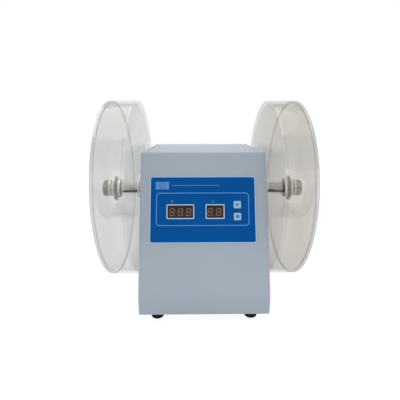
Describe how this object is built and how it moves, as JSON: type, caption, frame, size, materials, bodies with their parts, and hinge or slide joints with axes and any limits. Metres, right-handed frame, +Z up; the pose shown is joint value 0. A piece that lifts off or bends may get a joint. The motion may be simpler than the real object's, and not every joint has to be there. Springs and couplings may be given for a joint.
{
  "type": "tablet friability tester",
  "caption": "Bench tester with two clear drums on one driven shaft, one each side of a sloped housing with a display panel.",
  "frame": {"origin": "on the table under the middle of the shaft, which is the centre of the overall box's bottom", "axes": "+X along the shaft to the right as the panel is read, +Y to the rear, +Z up"},
  "size_m": [0.348, 0.296, 0.319],
  "materials": {
    "housing_paint": "satin",
    "rear_paint": "satin",
    "panel_film": "satin film",
    "clear_acrylic": "clear polished",
    "pale_plastic": "matte",
    "dark_window": "gloss",
    "tan_plastic": "matte",
    "black_plastic": "matte",
    "rubber": "matte",
    "steel": "turned",
    "zinc_plate": "zinc plated",
    "brass": "machined",
    "gear_nylon": "matte",
    "board_green": "satin"
  },
  "bodies": {
    "housing": {"housing_cover": "housing_paint", "base_plate": "zinc_plate", "rear_panel": "rear_paint", "foot_front_left": "rubber", "foot_front_right": "rubber", "foot_rear_left": "rubber", "foot_rear_right": "rubber", "control_overlay": "panel_film", "display_bezel_three_digit": "pale_plastic", "display_bezel_two_digit": "pale_plastic", "display_three_digit": "dark_window", "display_two_digit": "dark_window", "control_board": "board_green", "board_rail_left": "zinc_plate", "board_rail_right": "zinc_plate", "key_switch_upper": "black_plastic", "key_switch_lower": "black_plastic", "bearing_frame_left": "zinc_plate", "bearing_frame_right": "zinc_plate", "bearing_housing_left": "steel", "bearing_housing_right": "steel", "ball_bearing_left": "steel", "ball_bearing_right": "steel", "shaft_collar_left": "steel", "shaft_collar_right": "steel", "drive_motor": "black_plastic", "motor_bracket": "zinc_plate", "transformer": "zinc_plate", "power_board": "board_green", "optical_sensor": "black_plastic", "power_inlet": "black_plastic", "switch_frame": "black_plastic", "fuse_holder": "black_plastic"},
    "rotor": {"main_shaft": "steel", "driven_gear": "gear_nylon", "encoder_disc": "black_plastic", "drum_disc_left": "clear_acrylic", "drum_disc_right": "clear_acrylic", "drum_rim_left": "clear_acrylic", "drum_rim_right": "clear_acrylic", "drum_vane_left": "clear_acrylic", "drum_vane_right": "clear_acrylic", "hub_sleeve_left": "steel", "hub_sleeve_right": "steel", "inner_washer_left": "steel", "inner_washer_right": "steel"},
    "motor_rotor": {"drive_pinion": "brass"},
    "lid_left": {"drum_lid_left": "clear_acrylic"},
    "lid_right": {"drum_lid_right": "clear_acrylic"},
    "nut_left": {"outer_washer_left": "steel", "knob_insert_left": "steel", "knob_grip_left": "tan_plastic"},
    "nut_right": {"outer_washer_right": "steel", "knob_insert_right": "steel", "knob_grip_right": "tan_plastic"},
    "key_upper": {"key_upper": "pale_plastic"},
    "key_lower": {"key_lower": "pale_plastic"},
    "rocker": {"switch_rocker": "black_plastic"},
    "fuse_carrier": {"fuse_cap": "black_plastic"}
  },
  "joints": [
    {"name": "shaft_spin", "type": "hinge", "parent": "housing", "child": "rotor", "pos_m": [0, 0, 0.171], "axis": [1, 0, 0], "continuous": true},
    {"name": "motor_spin", "type": "hinge", "parent": "housing", "child": "motor_rotor", "pos_m": [0, 0, 0.117], "axis": [1, 0, 0], "continuous": true},
    {"name": "nut_left_pull", "type": "slide", "parent": "rotor", "child": "nut_left", "axis": [-1, 0, 0], "range_m": [0, 0.07]},
    {"name": "nut_right_pull", "type": "slide", "parent": "rotor", "child": "nut_right", "axis": [1, 0, 0], "range_m": [0, 0.07]},
    {"name": "lid_left_pull", "type": "slide", "parent": "rotor", "child": "lid_left", "axis": [-1, 0, 0], "range_m": [0, 0.042]},
    {"name": "lid_right_pull", "type": "slide", "parent": "rotor", "child": "lid_right", "axis": [1, 0, 0], "range_m": [0, 0.042]},
    {"name": "key_upper_press", "type": "slide", "parent": "housing", "child": "key_upper", "axis": [0, 0.933, -0.3598], "range_m": [0, 0.0008], "stiffness_N_per_m": 300},
    {"name": "key_lower_press", "type": "slide", "parent": "housing", "child": "key_lower", "axis": [0, 0.933, -0.3598], "range_m": [0, 0.0008], "stiffness_N_per_m": 300},
    {"name": "switch_rock", "type": "hinge", "parent": "housing", "child": "rocker", "pos_m": [-0.006, 0.1256, 0.059], "axis": [1, 0, 0], "range_deg": [0, 20]},
    {"name": "fuse_cap_pull", "type": "slide", "parent": "housing", "child": "fuse_carrier", "axis": [0, 1, 0], "range_m": [0, 0.03]}
  ],
  "couplings": [
    {"joint": "motor_spin", "follows": "shaft_spin", "ratio": -3},
    {"joint": "lid_left_pull", "follows": "nut_left_pull", "ratio": 0.6},
    {"joint": "lid_right_pull", "follows": "nut_right_pull", "ratio": 0.6}
  ]
}
